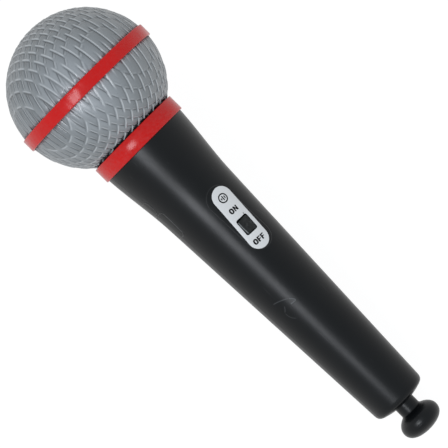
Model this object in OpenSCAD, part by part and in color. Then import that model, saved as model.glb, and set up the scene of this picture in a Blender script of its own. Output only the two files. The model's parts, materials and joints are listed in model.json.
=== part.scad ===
// Toy microphone: ball head with a red band, red collar, tapered two-part handle, rocker switch and tail knob.
// The parts are drawn along X from the ball's centre (x = 0) to the tail, label side up, then laid on the floor.

/* [Head] */
// Ball diameter
ball_d = 71.4; // [70.8:0.2:71.6]
// Ball wall thickness
ball_wall = 1.8; // [1.6:0.1:1.9]
// Outside diameter of the band round the ball
band_d = 73.4; // [73.0:0.2:74.2]
// Width of the band
band_w = 6; // [5:0.5:6]
// Outside diameter of the collar ring
collar_d = 46.6; // [46.4:0.2:47.2]

/* [Handle] */
// Outside diameter at the collar, before the flare
handle_d = 41.12; // [41:0.1:41.6]
// Extra diameter of the flare at the collar
flare_d = 3.48; // [3:0.1:3.8]
// Wall thickness
handle_wall = 2; // [1.8:0.1:2.1]

/* [Switch] */
// Tilt of the rocker cap either side of level
rock_angle = 8; // [5:1:8]
// Skew of the label on the handle
label_skew = 3; // [0:0.5:5]

/* [Tail knob] */
// Knob diameter
knob_d = 20.1; // [19.5:0.1:20.5]
// Travel of the knob
knob_travel = 3.5; // [2:0.5:3.5]

/* [Lying pose] */
// Angle between the microphone's axis and the floor
lie_angle = 6.93; // [6.93:0.01:6.93]

/* [Hidden] */
$fn = 96;
small_fn = 48;
eps = 0.05;
far = 120;

ball_r = ball_d / 2;
ball_in = ball_r - ball_wall;
band_r = band_d / 2;
seat_r = ball_r - 0.75;
spigot_r = ball_in - 1.7;
neck_r = 18;
neck_in = 16.2;
neck_end = 44.2;
lip_r = 19.4;
crown_rings = [[0, 1], [3.2, 6], [9.5, 12]];
crown_hole_r = 0.7;
boss_in = 6.05;
boss_out = 7.4;

collar_r = collar_d / 2;
collar_x0 = 28.3;
collar_x1 = 36;

handle_x0 = 36.05;
handle_x1 = 193.4;
handle_r = handle_d / 2;
flare_r = flare_d / 2;
taper = 0.0445;
flare_end = 70;
flare_len = 36;
stem_r = 5.05;
stem_hole_r = 5.13;
tail_x = 197.8;
guide_x = 187;
guide_r = 7.4;
end_wall_x = 193.2;
seam_trim = 0.15;

label_x = 87.85;
label_l = 33.5;
label_w = 10.1;
label_t = 0.25;
switch_x = 92;
window_l = 8.25;
window_w = 6.5;
window_r = 0.9;
pivot_z = 16.5;
pin_r = 0.6;
pin_hole_r = 0.66;
cap_w = 5.45;
cap_l = 7.36;
cap_r = 0.8;
tip_drop = 5.5;
tip_r = 0.9;

board_z = 3.4;
board_t = 1.6;
board_x0 = 59.5;
board_x1 = 108.5;
board_w = 23;
board_screw_x = [63.5, 104.5];

cell_r = 5.25;
cell_l = 44.5;
cell_z = -8.6;
cell_y = 5.35;
tray_x0 = 57.5;
tray_x1 = 107.2;
tray_w = 23.6;
tray_wall = 1;
door_x0 = 56;
door_x1 = 113.5;
door_w = 22.4;
door_gap = 0.2;
door_screw_x = 110.4;
screw_x = [51, 118.5, 160];

knob_r = knob_d / 2;
knob_x0 = 202.2;
knob_mid = 208.4;
knob_front = 6.61;
knob_back = 5.95;
knob_power = 2.3;
flange_x0 = 183.9;
flange_x1 = 186.95;
flange_r = 6.8;
button_x = 177;
nose_x = button_x + 0.2 + knob_travel;
nose_r = 2.5;
bracket_x = 170;
bracket_t = 2;
spring_r = 4.95;
spring_wire = 0.5;

// Distance from the axis to the outside of the handle at x
function smooth(t) = let (c = min(1, max(0, t))) c * c * (3 - 2 * c);
function handle_radius(x) =
    handle_r - taper * (x - 36) + flare_r * smooth((flare_end - x) / flare_len);
function handle_line(x0, x1, step, off) =
    [for (x = [x0 : step : x1]) [handle_radius(x) + off, x]];
function arc_line(r, a0, a1, n) =
    [for (i = [0 : n]) let (a = a0 + (a1 - a0) * i / n) [r * cos(a), r * sin(a)]];
function reversed(v) = [for (i = [len(v) - 1 : -1 : 0]) v[i]];

tail_curve = [
    [13.4, 194.4], [13.05, 195.2], [12.5, 195.8], [11.5, 196.3], [9.5, 196.95], [7.5, 197.45],
    [stem_hole_r, tail_x]
];

// Lays the microphone on its band and its tail, head towards -X
module place() {
    shift_x = -88.63;
    shift_z = 36.794;
    translate([shift_x, 0, shift_z])
        rotate([0, lie_angle, 0])
            children();
}

// Turns a shape drawn along Z so that it runs along X
module along_x() {
    rotate([0, 90, 0])
        children();
}

module rod(x0, x1, r, fn = small_fn) {
    translate([x0, 0, 0])
        along_x()
            cylinder(r = r, h = x1 - x0, $fn = fn);
}

module tube(x0, x1, r_out, r_in) {
    difference() {
        rod(x0, x1, r_out, $fn);
        rod(x0 - 1, x1 + 1, r_in, $fn);
    }
}

module upright(x, y, z0, z1, r) {
    translate([x, y, z0])
        cylinder(r = r, h = z1 - z0, $fn = small_fn);
}

module block(x0, x1, y0, y1, z0, z1) {
    translate([x0, y0, z0])
        cube([x1 - x0, y1 - y0, z1 - z0]);
}

// Smooth curve through a list of points
function curve_point(p, i, t) =
    let (
        n = len(p) - 1,
        a = p[max(0, i - 1)],
        b = p[i],
        c = p[min(n, i + 1)],
        d = p[min(n, i + 2)]
    )
    0.5 * (2 * b + (c - a) * t + (2 * a - 5 * b + 4 * c - d) * t * t + (3 * b - a - 3 * c + d) * t * t * t);
function curve_line(p, parts) =
    concat([for (i = [0 : len(p) - 2]) for (k = [0 : parts - 1]) curve_point(p, i, k / parts)], [p[len(p) - 1]]);
function unit(v) = v / norm(v);

// Skin over a run of rings with the same number of points
module skin(rings) {
    side = len(rings[0]);
    n = len(rings) - 1;
    verts = [for (ring = rings) for (p = ring) p];
    walls = [for (i = [0 : n - 1]) for (k = [0 : side - 1])
        let (k2 = (k + 1) % side)
        [i * side + k, i * side + k2, (i + 1) * side + k2, (i + 1) * side + k]];
    first = [for (k = [side - 1 : -1 : 0]) k];
    last = [for (k = [0 : side - 1]) n * side + k];
    polyhedron(points = verts, faces = concat([first], walls, [last]), convexity = 10);
}

// Round wire along a smooth curve
module wire(points, r) {
    side = 8;
    line = curve_line(points, 5);
    n = len(line) - 1;
    skin([for (i = [0 : n])
        let (
            t = unit(line[min(n, i + 1)] - line[max(0, i - 1)]),
            u = unit(cross(t, [0, 1, 0.02])),
            v = cross(t, u)
        )
        [for (k = [0 : side - 1]) line[i] + r * (cos(360 * k / side) * u - sin(360 * k / side) * v)]]);
}

// Coil spring along X
module coil(x0, x1, r0, r1, wire_r, turns) {
    per_turn = 20;
    side = 6;
    n = per_turn * turns;
    way = x1 > x0 ? 1 : -1;
    skin([for (i = [0 : n])
        let (t = i / n, a = way * 360 * turns * t, r = r0 + (r1 - r0) * t, x = x0 + (x1 - x0) * t)
        [for (k = [0 : side - 1])
            let (b = 360 * k / side, q = r + wire_r * cos(b))
            [x + way * wire_r * sin(b), q * cos(a), q * sin(a)]]]);
}

module ball_shell() {
    difference() {
        sphere(r = ball_r, $fn = 180);
        sphere(r = ball_in, $fn = 180);
    }
}

module band_seat() {
    difference() {
        rod(-band_w / 2 - 0.05, band_w / 2 + 0.05, ball_r + 5, 180);
        rod(-band_w, band_w, seat_r, 180);
    }
}

module head_front_dome() {
    color("#8d9296")
        difference() {
            union() {
                difference() {
                    ball_shell();
                    block(-eps, far, -far, far, -far, far);
                    band_seat();
                }
                intersection() {
                    tube(-ball_r, -26.5, boss_out, boss_in);
                    sphere(r = ball_in + 0.2, $fn = 180);
                }
            }
            for (ring = crown_rings)
                for (i = [0 : ring[1] - 1])
                    rotate([360 * i / ring[1], 0, 0])
                        translate([-ball_r - 2, ring[0], 0])
                            along_x()
                                cylinder(r = crown_hole_r, h = 6, $fn = 24);
        }
}

module head_rear_dome() {
    seat_x = band_w / 2 + 0.05;
    ledge_r = 29.5;
    ledge_x0 = 7.2;
    ledge_x1 = 9.2;
    spigot_x = 3.2;
    color("#8d9296")
        along_x()
            rotate_extrude($fn = 180)
                polygon(concat(
                    [[spigot_r, -4], [ball_in - 0.4, -4], [ball_in - 0.4, eps], [seat_r, eps], [seat_r, seat_x]],
                    arc_line(ball_r, asin(seat_x / ball_r), acos(neck_r / ball_r), 18),
                    [[neck_r, 42.1], [lip_r, 42.1], [lip_r, neck_end], [neck_in + 0.4, neck_end],
                     [neck_in, neck_end - 0.4]],
                    arc_line(ball_in, acos(neck_in / ball_in), asin(ledge_x1 / ball_in), 14),
                    [[ledge_r, ledge_x1], [ledge_r, ledge_x0]],
                    arc_line(ball_in, asin(ledge_x0 / ball_in), asin(spigot_x / ball_in), 2),
                    [[spigot_r, spigot_x]]
                ));
}

module head_band() {
    color("#cf2a26")
        difference() {
            rod(-band_w / 2, band_w / 2, band_r, 180);
            rod(-band_w, band_w, seat_r + 0.05, 180);
        }
}

module collar_ring() {
    color("#b92427")
        along_x()
            rotate_extrude($fn = 128)
                polygon([
                    [neck_r + 0.1, 31.5], [21.5, 29.2], [22.9, 28.4], [collar_r - 0.2, collar_x0],
                    [collar_r, collar_x0 + 0.25], [collar_r, collar_x1 - 0.25],
                    [collar_r - 0.25, collar_x1], [neck_r + 0.1, collar_x1]
                ]);
}

// Half of the handle wall, with the neck groove and the knob guide
module handle_half(start_angle, trim = 0) {
    wall_line = handle_line(47, 192, 5, -handle_wall);
    along_x()
        rotate_extrude(angle = 180 - 2 * trim, start = start_angle + trim, $fn = 128)
            polygon(concat(
                [[neck_r + 0.1, handle_x0]],
                [[handle_radius(36.2) - 0.12, handle_x0]],
                handle_line(36.2, 69.8, 1.4, 0),
                handle_line(72, 192, 8, 0),
                [[handle_radius(handle_x1), handle_x1]],
                tail_curve,
                [[stem_hole_r, guide_x], [guide_r, guide_x], [guide_r, end_wall_x]],
                [[handle_radius(end_wall_x) - handle_wall, end_wall_x]],
                reversed(wall_line),
                [[neck_r + 0.1, 46.5], [neck_r + 0.1, 44.4], [lip_r + 0.15, 44.4], [lip_r + 0.15, 41.9],
                 [neck_r + 0.1, 41.9]]
            ));
}

// Everything within the handle's inner wall
module handle_core() {
    along_x()
        rotate_extrude($fn = 96)
            polygon(concat(
                [[0, 37]],
                handle_line(37, 187, 10, -handle_wall + 0.4),
                [[0, 187]]
            ));
}

module bracket_slot() {
    rod(bracket_x - 0.1, bracket_x + bracket_t + 0.1, 12.7, 64);
}

module bracket_ribs() {
    intersection() {
        tube(bracket_x - 1.6, bracket_x + bracket_t + 1.6, 13.2, 11.4);
        handle_core();
    }
}

module handle_upper_shell() {
    color("#2b2d30")
        difference() {
            union() {
                handle_half(90);
                intersection() {
                    handle_core();
                    union() {
                        block(switch_x - 6.4, switch_x + 6.4, -5.4, 5.4, 14.2, 30);
                        for (x = screw_x)
                            upright(x, 0, -0.95, 30, 2.8);
                        for (x = board_screw_x)
                            upright(x, 0, board_z + board_t, 30, 2.3);
                    }
                }
                intersection() {
                    bracket_ribs();
                    block(100, 190, -20, 20, 0, 20);
                }
            }
            bracket_slot();
            block(switch_x - window_l / 2, switch_x + window_l / 2, -window_w / 2, window_w / 2, 10, 30);
            translate([switch_x, 4.45, pivot_z])
                rotate([90, 0, 0])
                    cylinder(r = pin_hole_r, h = 8.9, $fn = small_fn);
            for (x = screw_x)
                upright(x, 0, -2, 6.2, 1.25);
            for (x = board_screw_x)
                upright(x, 0, 0, board_z + board_t + 5.2, 0.95);
        }
}

module handle_lower_shell() {
    color("#2b2d30")
        difference() {
            union() {
                handle_half(-90, seam_trim);
                intersection() {
                    handle_core();
                    for (x = screw_x)
                        upright(x, 0, -30, -1.05, 3.7);
                }
                intersection() {
                    bracket_ribs();
                    block(100, 190, -20, 20, -20, -0.04);
                }
            }
            bracket_slot();
            block(door_x0, door_x1, -door_w / 2, door_w / 2, -30, -5);
            for (x = screw_x)
                upright(x, 0, -30, -7.6, 2.6);
            for (x = screw_x)
                upright(x, 0, -30, 0, 1.35);
        }
}

module battery_door() {
    color("#2b2d30")
        difference() {
            union() {
                intersection() {
                    handle_half(-90);
                    block(
                        door_x0 + door_gap, door_x1 - door_gap,
                        -door_w / 2 + door_gap, door_w / 2 - door_gap, -30, -5
                    );
                }
                intersection() {
                    handle_core();
                    upright(door_screw_x, 0, -30, -10.4, 2.9);
                }
            }
            upright(door_screw_x, 0, -30, -12.6, 2.2);
            upright(door_screw_x, 0, -30, 0, 1.15);
        }
}

module label_outline(l, w) {
    hull_l = l - w;
    translate([-hull_l / 2, 0])
        circle(d = w, $fn = 64);
    translate([hull_l / 2, 0])
        circle(d = w, $fn = 64);
    square([hull_l, w], center = true);
}

module rounded_window(l, w, r) {
    square([l - 2 * r, w], center = true);
    square([l, w - 2 * r], center = true);
    for (sx = [-1, 1])
        for (sy = [-1, 1])
            translate([sx * (l / 2 - r), sy * (w / 2 - r)])
                circle(r = r, $fn = 32);
}

module switch_label() {
    line_0 = handle_line(68, 108, 4, 0.02);
    line_1 = handle_line(68, 108, 4, 0.02 + label_t);
    color("#cfd2d2")
        intersection() {
            along_x()
                rotate_extrude($fn = 128)
                    polygon(concat(line_0, reversed(line_1)));
            translate([label_x, 0, 10])
                rotate([0, 0, -label_skew])
                    linear_extrude(20)
                        difference() {
                            label_outline(label_l, label_w);
                            translate([switch_x - label_x, 0])
                                rounded_window(window_l, window_w, window_r);
                        }
        }
}

module switch_cap() {
    color("#232528")
        translate([switch_x, 0, pivot_z])
            rotate([0, rock_angle, 0])
                union() {
                    intersection() {
                        translate([0, cap_w / 2, 0])
                            rotate([90, 0, 0])
                                linear_extrude(cap_w)
                                    polygon([
                                        [-3.2, -1.3], [3.2, -1.3], [3.68, -0.4], [3.68, 1.3], [3.53, 1.5],
                                        [2.3, 1.38], [1.1, 1.3], [0, 1.27], [-1.1, 1.3], [-2.3, 1.38],
                                        [-3.53, 1.5], [-3.68, 1.3], [-3.68, -0.4]
                                    ]);
                        translate([0, 0, -2])
                            linear_extrude(4)
                                rounded_window(cap_l, cap_w, cap_r);
                    }
                    translate([0, 4.2, 0])
                        rotate([90, 0, 0])
                            cylinder(r = pin_r, h = 8.4, $fn = small_fn);
                    block(-0.7, 0.7, -1.2, 1.2, -tip_drop, -1.2);
                    translate([0, 1.2, -tip_drop])
                        rotate([90, 0, 0])
                            cylinder(r = tip_r, h = 2.4, $fn = small_fn);
                }
}

lever_x = switch_x - tip_drop * sin(rock_angle);

module slide_switch_body() {
    z0 = board_z + board_t;
    color("#b9bcbe")
        difference() {
            block(switch_x - 4.6, switch_x + 4.6, -2.6, 2.6, z0, 9.7);
            block(switch_x - 4.1, switch_x + 4.1, -2.1, 2.1, z0 + 0.5, 9.2);
            block(switch_x - 2.75, switch_x + 2.75, -1.65, 1.65, 9, 10);
        }
}

module slide_switch_lever() {
    color("#1d1e20")
        difference() {
            union() {
                block(lever_x - 2.6, lever_x + 2.6, -1.85, 1.85, 7.4, 9);
                block(lever_x - 1.75, lever_x + 1.75, -1.45, 1.45, 8.9, 12);
            }
            block(lever_x - tip_r - 0.1, lever_x + tip_r + 0.1, -2, 2, 9.9, 13);
        }
}

module circuit_board() {
    color("#3f6f3a")
        difference() {
            block(board_x0, board_x1, -board_w / 2, board_w / 2, board_z, board_z + board_t);
            for (x = board_screw_x)
                upright(x, 0, 0, 10, 1.2);
        }
}

module board_components() {
    top = board_z + board_t;
    color("#26282b")
        union() {
            translate([74, 0, top])
                cylinder(r1 = 5, r2 = 3, h = 1.6, $fn = small_fn);
            upright(83, 7.5, top, top + 6.5, 2.5);
            upright(83, -7.5, top, top + 6.5, 2.5);
            block(67, 69, 5, 9, top, top + 1.2);
            block(67, 69, -9, -5, top, top + 1.2);
            block(99.5, 101, 5.5, 9, top, top + 1);
            block(99.5, 101, -9, -5.5, top, top + 1);
        }
}

module board_screws() {
    color("#a9adb0")
        for (x = board_screw_x) {
            upright(x, 0, board_z - 1.3, board_z, 1.9);
            upright(x, 0, board_z - 0.5, board_z + board_t + 5, 0.9);
        }
}

module speaker_holder() {
    color("#3a3c3f")
        difference() {
            rod(5.1, 7.1, 32.8, $fn);
            rod(0, 10, 17.3, $fn);
            for (a = [30 : 60 : 330])
                rotate([a, 0, 0])
                    translate([0, 0, 25.5])
                        rod(0, 10, 2.5);
        }
}

module speaker_frame() {
    color("#9da1a4")
        along_x()
            rotate_extrude($fn = 96)
                polygon([
                    [16.4, 4.3], [20, 4.3], [20, 5], [17.1, 5], [17.1, 8], [11.6, 12.4], [11.6, 13.2],
                    [9, 13.2], [9, 12.6], [11, 12.1], [16.4, 7.7]
                ]);
}

module speaker_magnet() {
    color("#55585b")
        union() {
            tube(13.25, 17.5, 11, 5);
            rod(17.55, 18.8, 10.4);
            rod(13.25, 17.6, 3.9);
        }
}

module speaker_cone() {
    color("#1f2022")
        along_x()
            rotate_extrude($fn = 96)
                polygon([
                    [16.2, 3.3], [16.2, 3.6], [14.6, 4.1], [5.2, 9.6], [3.2, 8.3], [0, 7.5],
                    [0, 7.2], [3.4, 8], [5, 9.1], [14.2, 3.7], [15, 3]
                ]);
}

module speaker_gasket() {
    color("#2a2b2d")
        tube(3, 4.25, 20, 16.5);
}

module microphone_capsule() {
    color("#c3c6c8")
        rod(-31, -24.6, 4.85);
}

module capsule_boot() {
    color("#26272a")
        difference() {
            rod(-31.2, -23.6, 6);
            rod(-31.05, -24.55, 4.88);
            rod(-33, -20, 3.6);
        }
}

module battery_tray() {
    color("#2b2d30")
        difference() {
            union() {
                block(tray_x0, tray_x1, -tray_w / 2, tray_w / 2, -9.4, -2.2);
                block(tray_x1 - 0.5, door_x1 - 0.6, -3.2, 3.2, -10.2, -3.4);
            }
            block(
                tray_x0 + tray_wall, tray_x1 - tray_wall,
                -tray_w / 2 + tray_wall, tray_w / 2 - tray_wall, -20, -3.2
            );
            upright(door_screw_x, 0, -12, -5, 1.05);
        }
}

// Cell with its positive end at x1
module cell(x0, x1) {
    nub = x1 > x0 ? -0.9 : 0.9;
    rod(min(x0, x1 + nub), max(x0, x1 + nub), cell_r);
    rod(min(x1, x1 + 2 * nub), max(x1, x1 + 2 * nub), 1.9);
}

module battery_cells() {
    color("#3b6ea8") {
        translate([0, -cell_y, cell_z])
            cell(105.7 - cell_l, 105.7);
        translate([0, cell_y, cell_z])
            cell(58.95 + cell_l, 58.95);
    }
}

module battery_contacts() {
    z0 = -11.4;
    z1 = -4.2;
    color("#c9ccce")
        union() {
            block(58.52, 58.86, -9.5, -1, z0, z1);
            block(58.52, 58.86, 1, 9.5, z0, z1);
            block(105.82, 106.16, -9.5, 9.5, z0, z1);
        }
}

module battery_springs() {
    color("#c9ccce") {
        translate([0, -cell_y, cell_z])
            coil(59.2, 60.65, 2.6, 1.7, 0.28, 3);
        translate([0, cell_y, cell_z])
            coil(105.5, 103.95, 2.6, 1.7, 0.28, 3);
    }
}

module door_screw() {
    color("#a9adb0")
        union() {
            upright(door_screw_x, 0, -14.1, -12.6, 2.05);
            upright(door_screw_x, 0, -13, -6, 1);
        }
}

module handle_screws() {
    color("#a9adb0")
        for (x = screw_x) {
            upright(x, 0, -9.2, -7.6, 2.4);
            upright(x, 0, -8, 5, 1.2);
        }
}

module tail_knob() {
    front_steps = 7;
    back_steps = 10;
    reach = 0.83;
    front = [for (i = [0 : front_steps])
        let (t = -reach * (1 - i / front_steps))
        [knob_r * sqrt(1 - t * t), knob_mid + knob_front * t]];
    back = [for (i = [1 : back_steps])
        let (t = sin(90 * i / back_steps))
        [knob_r * pow(1 - pow(t, knob_power), 1 / knob_power), knob_mid + knob_back * t]];
    color("#2c2e31")
        along_x()
            rotate_extrude($fn = 96)
                polygon(concat(
                    [[0, nose_x], [nose_r, nose_x], [nose_r, flange_x0], [flange_r, flange_x0],
                     [flange_r, flange_x1], [stem_r, flange_x1], [stem_r, knob_x0], [5.2, knob_x0 + 0.4]],
                    front, back
                ));
}

module knob_spring() {
    color("#c9ccce")
        coil(172.3, 183.6, spring_r, spring_r, spring_wire / 2, 6);
}

module button_switch() {
    color("#1d1e20")
        union() {
            block(172.02, 175.6, -3, 3, -3, 3);
            rod(175.5, button_x, 1.7);
        }
}

module button_bracket() {
    color("#2b2d30")
        difference() {
            rod(bracket_x, bracket_x + bracket_t, 12.5);
            for (y = [-2, 2])
                translate([0, y, 0])
                    rod(bracket_x - 1, bracket_x + bracket_t + 1, 0.8);
        }
}

module speaker_wires() {
    color("#b03a30")
        for (y = [-6.4, -4.6])
            wire([
                [19.4, y, 4], [26, y, 7], [40, y, 9], [54, y, 9], [60.5, y, 7.4], [62, y, 6.2], [62, y, 5.05]
            ], 0.55);
}

module capsule_wires() {
    color("#d8d8d4")
        for (d = [-0.8, 0.8])
            wire([
                [-23.5, d * 1.4, 0], [-17, 4 + d, 11], [-4, 12 + d, 21], [6.1, 12.75 + d, 22.1], [13, 12 + d, 21],
                [22, 9 + d, 13.5], [30, 7 + d, 10], [54, 6 + d, 9.5], [60.5, 6 + d, 7.4], [62, 6 + d, 6.2],
                [62, 6 + d, 5.05]
            ], 0.5);
}

module battery_wires() {
    color("#b03a30")
        for (y = [-6, 6])
            wire([[58, y, -1.5], [58, y, 1.5], [61, y, 2.7]], 0.5);
}

module button_wires() {
    color("#3a3c3f")
        for (y = [-2, 2])
            wire([
                [169.4, y, 0], [150, y * 2.6, 4], [118, y * 2.6, 7.5], [108.5, y * 2.6, 7.4],
                [106.5, y * 2.6, 6.3], [106.5, y * 2.6, 5.05]
            ], 0.5);
}

place() {
    head_front_dome();
    head_rear_dome();
    head_band();
    collar_ring();
    handle_upper_shell();
    handle_lower_shell();
    switch_label();
    switch_cap();
    slide_switch_body();
    slide_switch_lever();
    circuit_board();
    board_components();
    board_screws();
    speaker_holder();
    speaker_frame();
    speaker_magnet();
    speaker_cone();
    speaker_gasket();
    microphone_capsule();
    capsule_boot();
    battery_tray();
    battery_cells();
    battery_contacts();
    battery_springs();
    battery_door();
    door_screw();
    handle_screws();
    tail_knob();
    knob_spring();
    button_switch();
    button_bracket();
    speaker_wires();
    capsule_wires();
    battery_wires();
    button_wires();
}
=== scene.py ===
import json
import math

import bmesh
import bpy
import numpy as np
from mathutils import Matrix, Vector


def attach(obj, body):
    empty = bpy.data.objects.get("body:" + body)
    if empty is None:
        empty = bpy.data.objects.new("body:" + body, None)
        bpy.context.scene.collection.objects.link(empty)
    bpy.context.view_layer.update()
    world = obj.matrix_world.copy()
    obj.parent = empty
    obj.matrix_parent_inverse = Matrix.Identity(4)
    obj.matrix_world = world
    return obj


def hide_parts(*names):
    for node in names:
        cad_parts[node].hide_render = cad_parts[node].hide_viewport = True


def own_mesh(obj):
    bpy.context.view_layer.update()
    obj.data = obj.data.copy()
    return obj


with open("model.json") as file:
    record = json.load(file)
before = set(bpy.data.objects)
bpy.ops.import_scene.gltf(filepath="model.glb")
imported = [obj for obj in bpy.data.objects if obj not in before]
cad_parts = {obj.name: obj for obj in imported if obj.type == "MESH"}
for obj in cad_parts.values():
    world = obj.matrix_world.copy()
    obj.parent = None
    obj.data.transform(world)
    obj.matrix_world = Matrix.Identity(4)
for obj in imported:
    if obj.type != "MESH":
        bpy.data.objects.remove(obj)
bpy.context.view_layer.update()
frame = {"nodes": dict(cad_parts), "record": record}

nodes = frame["nodes"]
scene = bpy.context.scene

# ---------------------------------------------------------------- placing
# The microphone is described in its own millimetres: x along the axis from the ball's centre to the tail,
# z out of the label, y across. TO_ROW takes those to the row frame's metres.
MM = 0.001
LIE = math.radians(6.93)
SHIFT = Vector((-88.63, 0.0, 36.794))
TO_ROW = Matrix.Scale(MM, 4) @ Matrix.Translation(SHIFT) @ Matrix.Rotation(LIE, 4, "Y")


def to_row(points):
    """Rows of microphone millimetres as rows of row-frame metres."""
    m = np.array(TO_ROW)
    return np.asarray(points, float) @ m[:3, :3].T + m[:3, 3]


def direction(v):
    """A direction in microphone axes, turned into the row frame."""
    return (Matrix.Rotation(LIE, 3, "Y") @ Vector(v)).normalized()


# ---------------------------------------------------------------- sizes, as in part.scad
BALL_R = 35.7
BALL_IN = 33.9
SEAT_R = 34.95
SEAT_X = 3.05
SEAT_GAP = 0.05
BOSS_R = (7.4, 6.05)
BOSS_X = -26.5
SPIGOT_R = (33.5, 32.2)
SPIGOT_X = (-4.0, 3.2)
LEDGE_R = 29.5
LEDGE_X = (7.2, 9.2)
NECK_R = 18.0
NECK_IN = 16.2
NECK_END = 44.2
NECK_CHAMFER = 0.4
LIP_R = 19.4
LIP_X = 42.1
HANDLE_R = 20.56
HANDLE_X0 = 36
TAPER = 0.0445
FLARE_R = 1.74
FLARE_END = 70
FLARE_LEN = 36
SWITCH_X = 92.0
LABEL_X = 87.85
LABEL_L = 33.5
LABEL_W = 10.1
LABEL_T = 0.25
LABEL_LIFT = 0.02
LABEL_SKEW = math.radians(3)


def smooth(t):
    """0 up to t = 0, 1 from t = 1 on, with a soft start and end."""
    c = min(1.0, max(0.0, t))
    return c * c * (3 - 2 * c)


def handle_radius(x):
    """Distance from the axis to the outside of the handle at x."""
    return HANDLE_R - TAPER * (x - HANDLE_X0) + FLARE_R * smooth((FLARE_END - x) / FLARE_LEN)


# ---------------------------------------------------------------- camera
VIEW_ROLL = math.radians(23.2)
PICTURE_TURN = math.radians(44.8)
LONG_SIDE_FOV = math.radians(9.75)
SENSOR = 36.0
CAMERA_X = 46.5
CAMERA_FAR = 1163
TARGET_X = 85.4


def make_camera():
    """The photo's camera. Gives the point it looks at and the direction from there back to it."""
    side = Vector((0, math.cos(VIEW_ROLL), math.sin(VIEW_ROLL)))
    place = Vector((CAMERA_X, -CAMERA_FAR * math.sin(VIEW_ROLL), CAMERA_FAR * math.cos(VIEW_ROLL)))
    target = Vector((TARGET_X, 0, 0))
    back = (place - target).normalized()
    up = -math.sin(PICTURE_TURN) * Vector((1, 0, 0)) + math.cos(PICTURE_TURN) * side
    right = up.cross(back).normalized()
    up = back.cross(right)
    turn = Matrix((right, up, back)).transposed()
    cam = bpy.data.cameras.new("camera")
    cam.sensor_width = SENSOR
    cam.lens = SENSOR / 2 / math.tan(LONG_SIDE_FOV / 2)
    cam.clip_start, cam.clip_end = 0.01, 50
    ob = bpy.data.objects.new("camera", cam)
    scene.collection.objects.link(ob)
    row_turn = Matrix.Rotation(LIE, 3, "Y") @ turn
    ob.matrix_world = Matrix.Translation(TO_ROW @ place) @ row_turn.to_4x4()
    scene.camera = ob
    return TO_ROW @ target, row_turn @ Vector((0, 0, 1))


# ---------------------------------------------------------------- meshes
def mesh_object(name, points_mm, faces, angle, relief=None):
    """A piece of the microphone's body; edges sharper than the angle stay sharp, and 0 means none do."""
    me = bpy.data.meshes.new(name)
    me.from_pydata([tuple(p) for p in to_row(points_mm)], [], faces)
    if relief is not None:
        me.attributes.new("relief", "FLOAT", "POINT").data.foreach_set("value", relief)
    bm = bmesh.new()
    bm.from_mesh(me)
    bmesh.ops.remove_doubles(bm, verts=bm.verts, dist=1e-7)
    bmesh.ops.dissolve_degenerate(bm, edges=bm.edges, dist=1e-8)
    bmesh.ops.recalc_face_normals(bm, faces=bm.faces)
    bm.to_mesh(me)
    bm.free()
    me.update()
    ob = bpy.data.objects.new(name, me)
    scene.collection.objects.link(ob)
    me.polygons.foreach_set("use_smooth", [True] * len(me.polygons))
    if angle:
        me.set_sharp_from_angle(angle=math.radians(angle))
    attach(ob, "microphone")
    return ob


def stitch(a, b, angle_a, angle_b):
    """Triangles between two closed rings of vertex numbers, each in order of its angles."""
    faces, i, j = [], 0, 0
    na, nb = len(a), len(b)
    while i < na or j < nb:
        next_a = angle_a[i + 1] if i + 1 < na else angle_a[0] + 2 * math.pi
        next_b = angle_b[j + 1] if j + 1 < nb else angle_b[0] + 2 * math.pi
        if j >= nb or (i < na and next_a <= next_b):
            faces.append((a[i % na], a[(i + 1) % na], b[j % nb]))
            i += 1
        else:
            faces.append((a[i % na], b[(j + 1) % nb], b[j % nb]))
            j += 1
    return faces


class Lathe:
    """Collects points and faces of rings round the microphone's axis."""

    def __init__(self, points, faces, sides):
        self.points, self.faces = points, faces
        self.angles = [2 * math.pi * k / sides for k in range(sides)]

    def ring(self, r, x):
        """A new ring of radius r at x, as the numbers of its points."""
        start = len(self.points)
        self.points += [(x, r * math.cos(a), r * math.sin(a)) for a in self.angles]
        return list(range(start, start + len(self.angles)))

    def run(self, ring, profile):
        """Carries the surface on from a ring through a list of (r, x); the last ring is returned."""
        for r, x in profile:
            new = self.ring(r, x)
            n = len(new)
            self.faces += [(ring[k], ring[(k + 1) % n], new[(k + 1) % n], new[k]) for k in range(n)]
            ring = new
        return ring

    def close(self, ring, x):
        """Closes a ring with a point on the axis at x."""
        self.points.append((x, 0.0, 0.0))
        tip, n = len(self.points) - 1, len(ring)
        self.faces += [(ring[k], ring[(k + 1) % n], tip) for k in range(n)]


# ---------------------------------------------------------------- the ball's woven relief
# The weave is moulded in rows of flats with short bars between them, in a lattice of its own on each half:
# -1 is the front one and 1 the rear one. "across" counts the bars and "up" the rows, each by a pitch in mm
# and the direction it is counted in, in degrees from +Y. "start" is where each count begins. "bends" say how
# many pitches each count has strayed BEND_REACH out along Y, along the diagonal and along Z. The rest is how
# strongly the bars, the grooves beside them, the rows' lips, the grooves between rows and the creases past
# the lips stand out, in height and in the relief's painted shade and painted highlight; "bar" sets only the
# bars' painted highlight.
LAYS = {
    -1: {
        "across": (3.1, -4), "up": (3.4, 78), "start": (0.96, 0.46),
        "bends": ((0.4, 0.1, -0.1), (-0.45, -0.55, -0.2)),
        "bar": 0.9, "bar_groove": 1.0, "lip": 0.9, "row_groove": 0.9, "crease": 0.5,
    },
    1: {
        "across": (3.0, -22.5), "up": (3.15, 66.5), "start": (-0.22, 0.25),
        "bends": ((-0.15, -0.35, -0.3), (0.25, 0.15, 0.35)),
        "bar": 1.0, "bar_groove": 0.6, "lip": 0.75, "row_groove": 1.0, "crease": 0.2,
    },
}
BEND_REACH = 30
FINEST_PITCH = 2.8
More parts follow.
